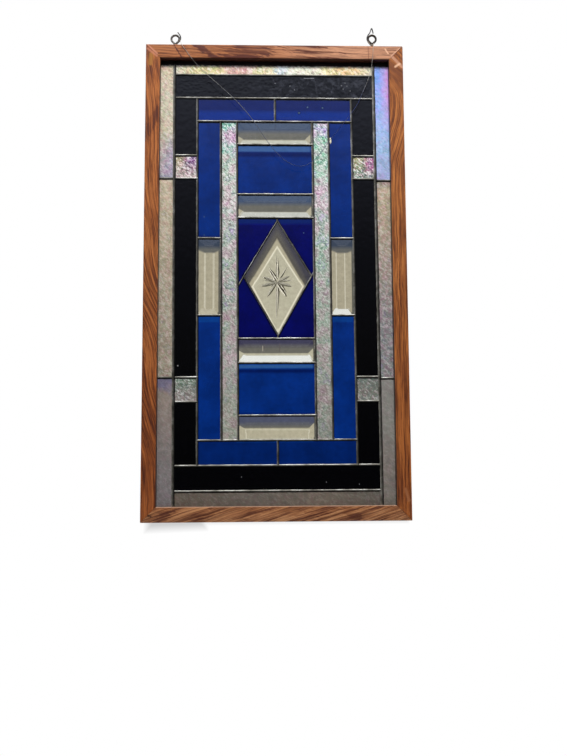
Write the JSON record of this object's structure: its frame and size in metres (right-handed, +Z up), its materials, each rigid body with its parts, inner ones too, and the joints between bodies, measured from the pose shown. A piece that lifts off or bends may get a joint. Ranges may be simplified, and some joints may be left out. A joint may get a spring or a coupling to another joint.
{
  "type": "stained glass window",
  "caption": "Tall hanging panel of blue, black, iridescent and clear bevelled glass round a star-cut diamond, soldered in a mitred oak frame with screw eyes and a slack line.",
  "frame": {"origin": "midway between the centres of the two screw-eye rings that the window hangs from", "axes": "+X to the viewer's right, -Y towards the viewer in front of the window, +Z up"},
  "size_m": [0.434, 0.0255, 0.8334],
  "materials": {
    "oak": "satin varnish over a flecked orange-brown grain",
    "black_glass": "opaque gloss with faint ripples",
    "blue_glass": "deep cathedral blue, smooth and glossy",
    "indigo_glass": "dark indigo, smooth and glossy",
    "pearl_glass": "rippled iridescent coating in cream, pink, green and lavender",
    "clear_glass": "polished, ground to a slope round every edge",
    "solder": "dull grey soldered bead, dark in the seams",
    "dark_steel": "dark bronzed wire",
    "clear_line": "translucent nylon line"
  },
  "bodies": {
    "root": {"top_rail": "oak", "bottom_rail": "oak", "left_stile": "oak", "right_stile": "oak", "pearl_border_top": "pearl_glass", "pearl_border_bottom": "pearl_glass", "pearl_border_left_upper": "pearl_glass", "pearl_border_left_middle": "pearl_glass", "pearl_border_left_lower": "pearl_glass", "pearl_border_right_upper": "pearl_glass", "pearl_border_right_middle": "pearl_glass", "pearl_border_right_lower": "pearl_glass", "black_bar_top": "black_glass", "black_bar_bottom": "black_glass", "black_upper_left": "black_glass", "black_upper_right": "black_glass", "black_middle_left": "black_glass", "black_middle_right": "black_glass", "black_lower_left": "black_glass", "black_lower_right": "black_glass", "pearl_square_upper_left": "pearl_glass", "pearl_square_upper_right": "pearl_glass", "pearl_square_lower_left": "pearl_glass", "pearl_square_lower_right": "pearl_glass", "blue_bar_top_left": "blue_glass", "blue_bar_top_right": "blue_glass", "blue_bar_bottom_left": "blue_glass", "blue_bar_bottom_right": "blue_glass", "blue_side_upper_left": "blue_glass", "blue_side_upper_right": "blue_glass", "blue_side_lower_left": "blue_glass", "blue_side_lower_right": "blue_glass", "side_bevel_left": "clear_glass", "side_bevel_right": "clear_glass", "pearl_strip_left": "pearl_glass", "pearl_strip_right": "pearl_glass", "bevel_1": "clear_glass", "blue_field_top": "blue_glass", "bevel_2": "clear_glass", "bevel_3": "clear_glass", "blue_field_bottom": "blue_glass", "bevel_4": "clear_glass", "indigo_upper_left": "indigo_glass", "indigo_upper_right": "indigo_glass", "indigo_lower_right": "indigo_glass", "indigo_lower_left": "indigo_glass", "star_diamond": "clear_glass", "solder_seams": "solder", "screw_eye_left": "dark_steel", "screw_eye_right": "dark_steel", "hanging_line": "clear_line", "line_knot_left": "clear_line", "line_knot_right": "clear_line"}
  },
  "joints": []
}
